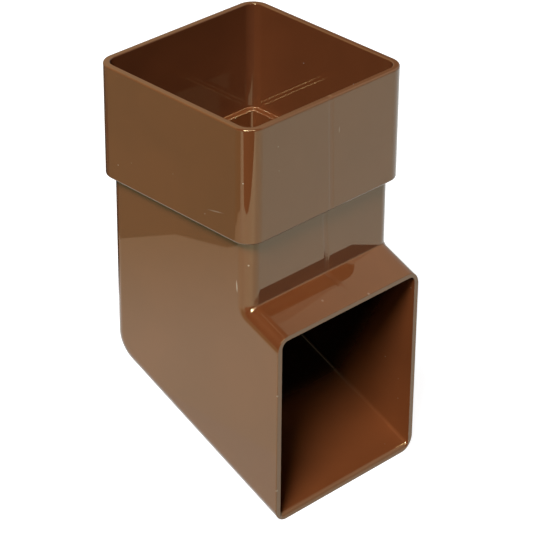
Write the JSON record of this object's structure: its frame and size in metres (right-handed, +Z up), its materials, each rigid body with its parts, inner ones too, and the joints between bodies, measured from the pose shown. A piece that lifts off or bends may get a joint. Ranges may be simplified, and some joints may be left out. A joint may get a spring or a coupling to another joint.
{
  "type": "downpipe shoe",
  "caption": "Moulded brown shoe for the foot of a square downpipe: a socket takes the pipe, and the body turns forward to throw rainwater from a square mouth, clear of the wall.",
  "frame": {"origin": "on the axis of the pipe, in the plane of the ledge that stops the pipe's end", "axes": "+Z up along the pipe, out of the socket; -Y the way the mouth faces, away from the wall; X across"},
  "size_m": [0.0704, 0.081, 0.1397],
  "materials": {
    "brown_plastic": "gloss, as moulded"
  },
  "bodies": {
    "root": {"downpipe_shoe": "brown_plastic"}
  },
  "joints": []
}
